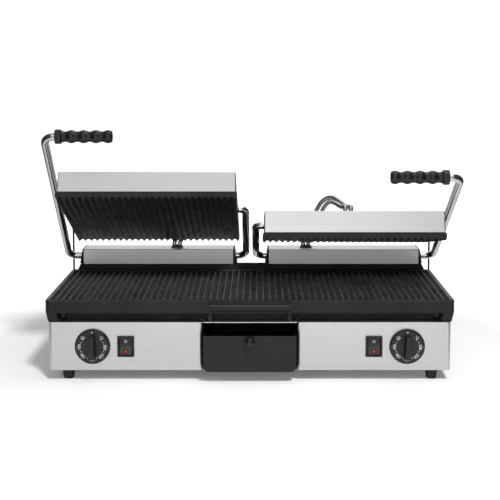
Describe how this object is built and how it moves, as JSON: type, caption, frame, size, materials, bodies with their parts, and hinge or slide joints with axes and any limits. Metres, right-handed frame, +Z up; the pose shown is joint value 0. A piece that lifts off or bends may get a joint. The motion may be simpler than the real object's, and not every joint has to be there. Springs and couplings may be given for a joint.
{
  "type": "panini press",
  "caption": "Wide counter-top contact grill with a ribbed lower plate, independent hinged upper plates on bent rod arms and a front grease drawer.",
  "frame": {"origin": "middle of the footprint box, on the surface the feet stand on", "axes": "+X to the right seen from the front, +Y to the rear, +Z up; the front with the drawer and dials faces -Y"},
  "size_m": [0.6374, 0.3392, 0.3757],
  "materials": {
    "black_metal": "satin black",
    "black_plastic": "fine matt",
    "brushed_steel": "brushed, low sheen",
    "cast_iron": "seasoned matt casting",
    "chrome_rod": "bright plated rod",
    "gloss_black_plastic": "gloss moulding",
    "heater_sheath": "heat-dulled",
    "lens_orange": "translucent look",
    "rubber": "matt",
    "steel_braid": "woven flexible conduit",
    "zinc_sheet": "dull zinc plate"
  },
  "bodies": {
    "base": {"base_pan": "zinc_sheet", "deck": "zinc_sheet", "rear_panel": "brushed_steel", "drawer_tunnel": "zinc_sheet", "mains_gland": "black_plastic", "lower_plate": "cast_iron", "rear_wall": "cast_iron", "heat_shield": "zinc_sheet", "housing_left": "brushed_steel", "foot_front_left": "rubber", "foot_rear_left": "rubber", "plate_screw_left": "black_metal", "lower_heater_left": "heater_sheath", "thermostat_left": "zinc_sheet", "switch_housing_left": "gloss_black_plastic", "hinge_bracket_outer_left": "cast_iron", "hinge_bracket_inner_left": "cast_iron", "hinge_spring_left": "zinc_sheet", "conduit_gland_left": "black_plastic", "conduit_left": "steel_braid", "rear_upright_left": "brushed_steel", "hinge_cover_left": "brushed_steel", "housing_right": "brushed_steel", "foot_front_right": "rubber", "foot_rear_right": "rubber", "plate_screw_right": "black_metal", "lower_heater_right": "heater_sheath", "thermostat_right": "zinc_sheet", "switch_housing_right": "gloss_black_plastic", "hinge_bracket_outer_right": "cast_iron", "hinge_bracket_inner_right": "cast_iron", "hinge_spring_right": "zinc_sheet", "conduit_gland_right": "black_plastic", "conduit_right": "steel_braid", "rear_upright_right": "brushed_steel", "hinge_cover_right": "brushed_steel"},
    "drawer": {"grease_drawer": "black_metal", "drawer_knob": "gloss_black_plastic"},
    "dial_left_turning": {"dial_left": "black_plastic", "dial_shaft_left": "zinc_sheet"},
    "rocker_left_moving": {"rocker_left": "gloss_black_plastic", "pilot_lens_left": "lens_orange"},
    "arm_left_frame": {"arm_left": "chrome_rod", "grip_left": "black_plastic", "grip_collar_left": "black_plastic", "pivot_pin_left": "zinc_sheet"},
    "upper_left": {"upper_plate_left": "cast_iron", "upper_cover_left": "brushed_steel", "upper_heater_left": "heater_sheath"},
    "dial_right_turning": {"dial_right": "black_plastic", "dial_shaft_right": "zinc_sheet"},
    "rocker_right_moving": {"rocker_right": "gloss_black_plastic", "pilot_lens_right": "lens_orange"},
    "arm_right_frame": {"arm_right": "chrome_rod", "grip_right": "black_plastic", "grip_collar_right": "black_plastic", "pivot_pin_right": "zinc_sheet"},
    "upper_right": {"upper_plate_right": "cast_iron", "upper_cover_right": "brushed_steel", "upper_heater_right": "heater_sheath"}
  },
  "joints": [
    {"name": "drawer_slide", "type": "slide", "parent": "base", "child": "drawer", "axis": [0, -1, 0], "range_m": [0, 0.18]},
    {"name": "left_dial_turn", "type": "hinge", "parent": "base", "child": "dial_left_turning", "pos_m": [-0.2355, -0.13987, 0.05365], "axis": [0, 1, 0], "range_deg": [0, 270]},
    {"name": "left_rocker_tilt", "type": "hinge", "parent": "base", "child": "rocker_left_moving", "pos_m": [-0.1858, -0.13787, 0.05365], "axis": [1, 0, 0], "range_deg": [0, 14]},
    {"name": "left_arm_lift", "type": "hinge", "parent": "base", "child": "arm_left_frame", "pos_m": [0, 0.12262, 0.1454], "axis": [-1, 0, 0], "range_deg": [-43.55, 13], "deforming": ["conduit_left"]},
    {"name": "left_plate_tilt", "type": "hinge", "parent": "arm_left_frame", "child": "upper_left", "pos_m": [0, 0.03488, 0.23722], "axis": [-1, 0, 0], "range_deg": [-5.6, 18.5]},
    {"name": "right_dial_turn", "type": "hinge", "parent": "base", "child": "dial_right_turning", "pos_m": [0.2355, -0.13987, 0.05365], "axis": [0, 1, 0], "range_deg": [0, 270]},
    {"name": "right_rocker_tilt", "type": "hinge", "parent": "base", "child": "rocker_right_moving", "pos_m": [0.1858, -0.13787, 0.05365], "axis": [1, 0, 0], "range_deg": [0, 14]},
    {"name": "right_arm_lift", "type": "hinge", "parent": "base", "child": "arm_right_frame", "pos_m": [0, 0.12262, 0.1454], "axis": [-1, 0, 0], "range_deg": [-29.55, 26], "deforming": ["conduit_right"]},
    {"name": "right_plate_tilt", "type": "hinge", "parent": "arm_right_frame", "child": "upper_right", "pos_m": [0, 0.01528, 0.21326], "axis": [-1, 0, 0], "range_deg": [-17.2, 19.5]}
  ],
  "couplings": [
    {"joint": "left_plate_tilt", "follows": "left_arm_lift", "ratio": -0.42135},
    {"joint": "right_plate_tilt", "follows": "right_arm_lift", "ratio": -0.65482}
  ]
}
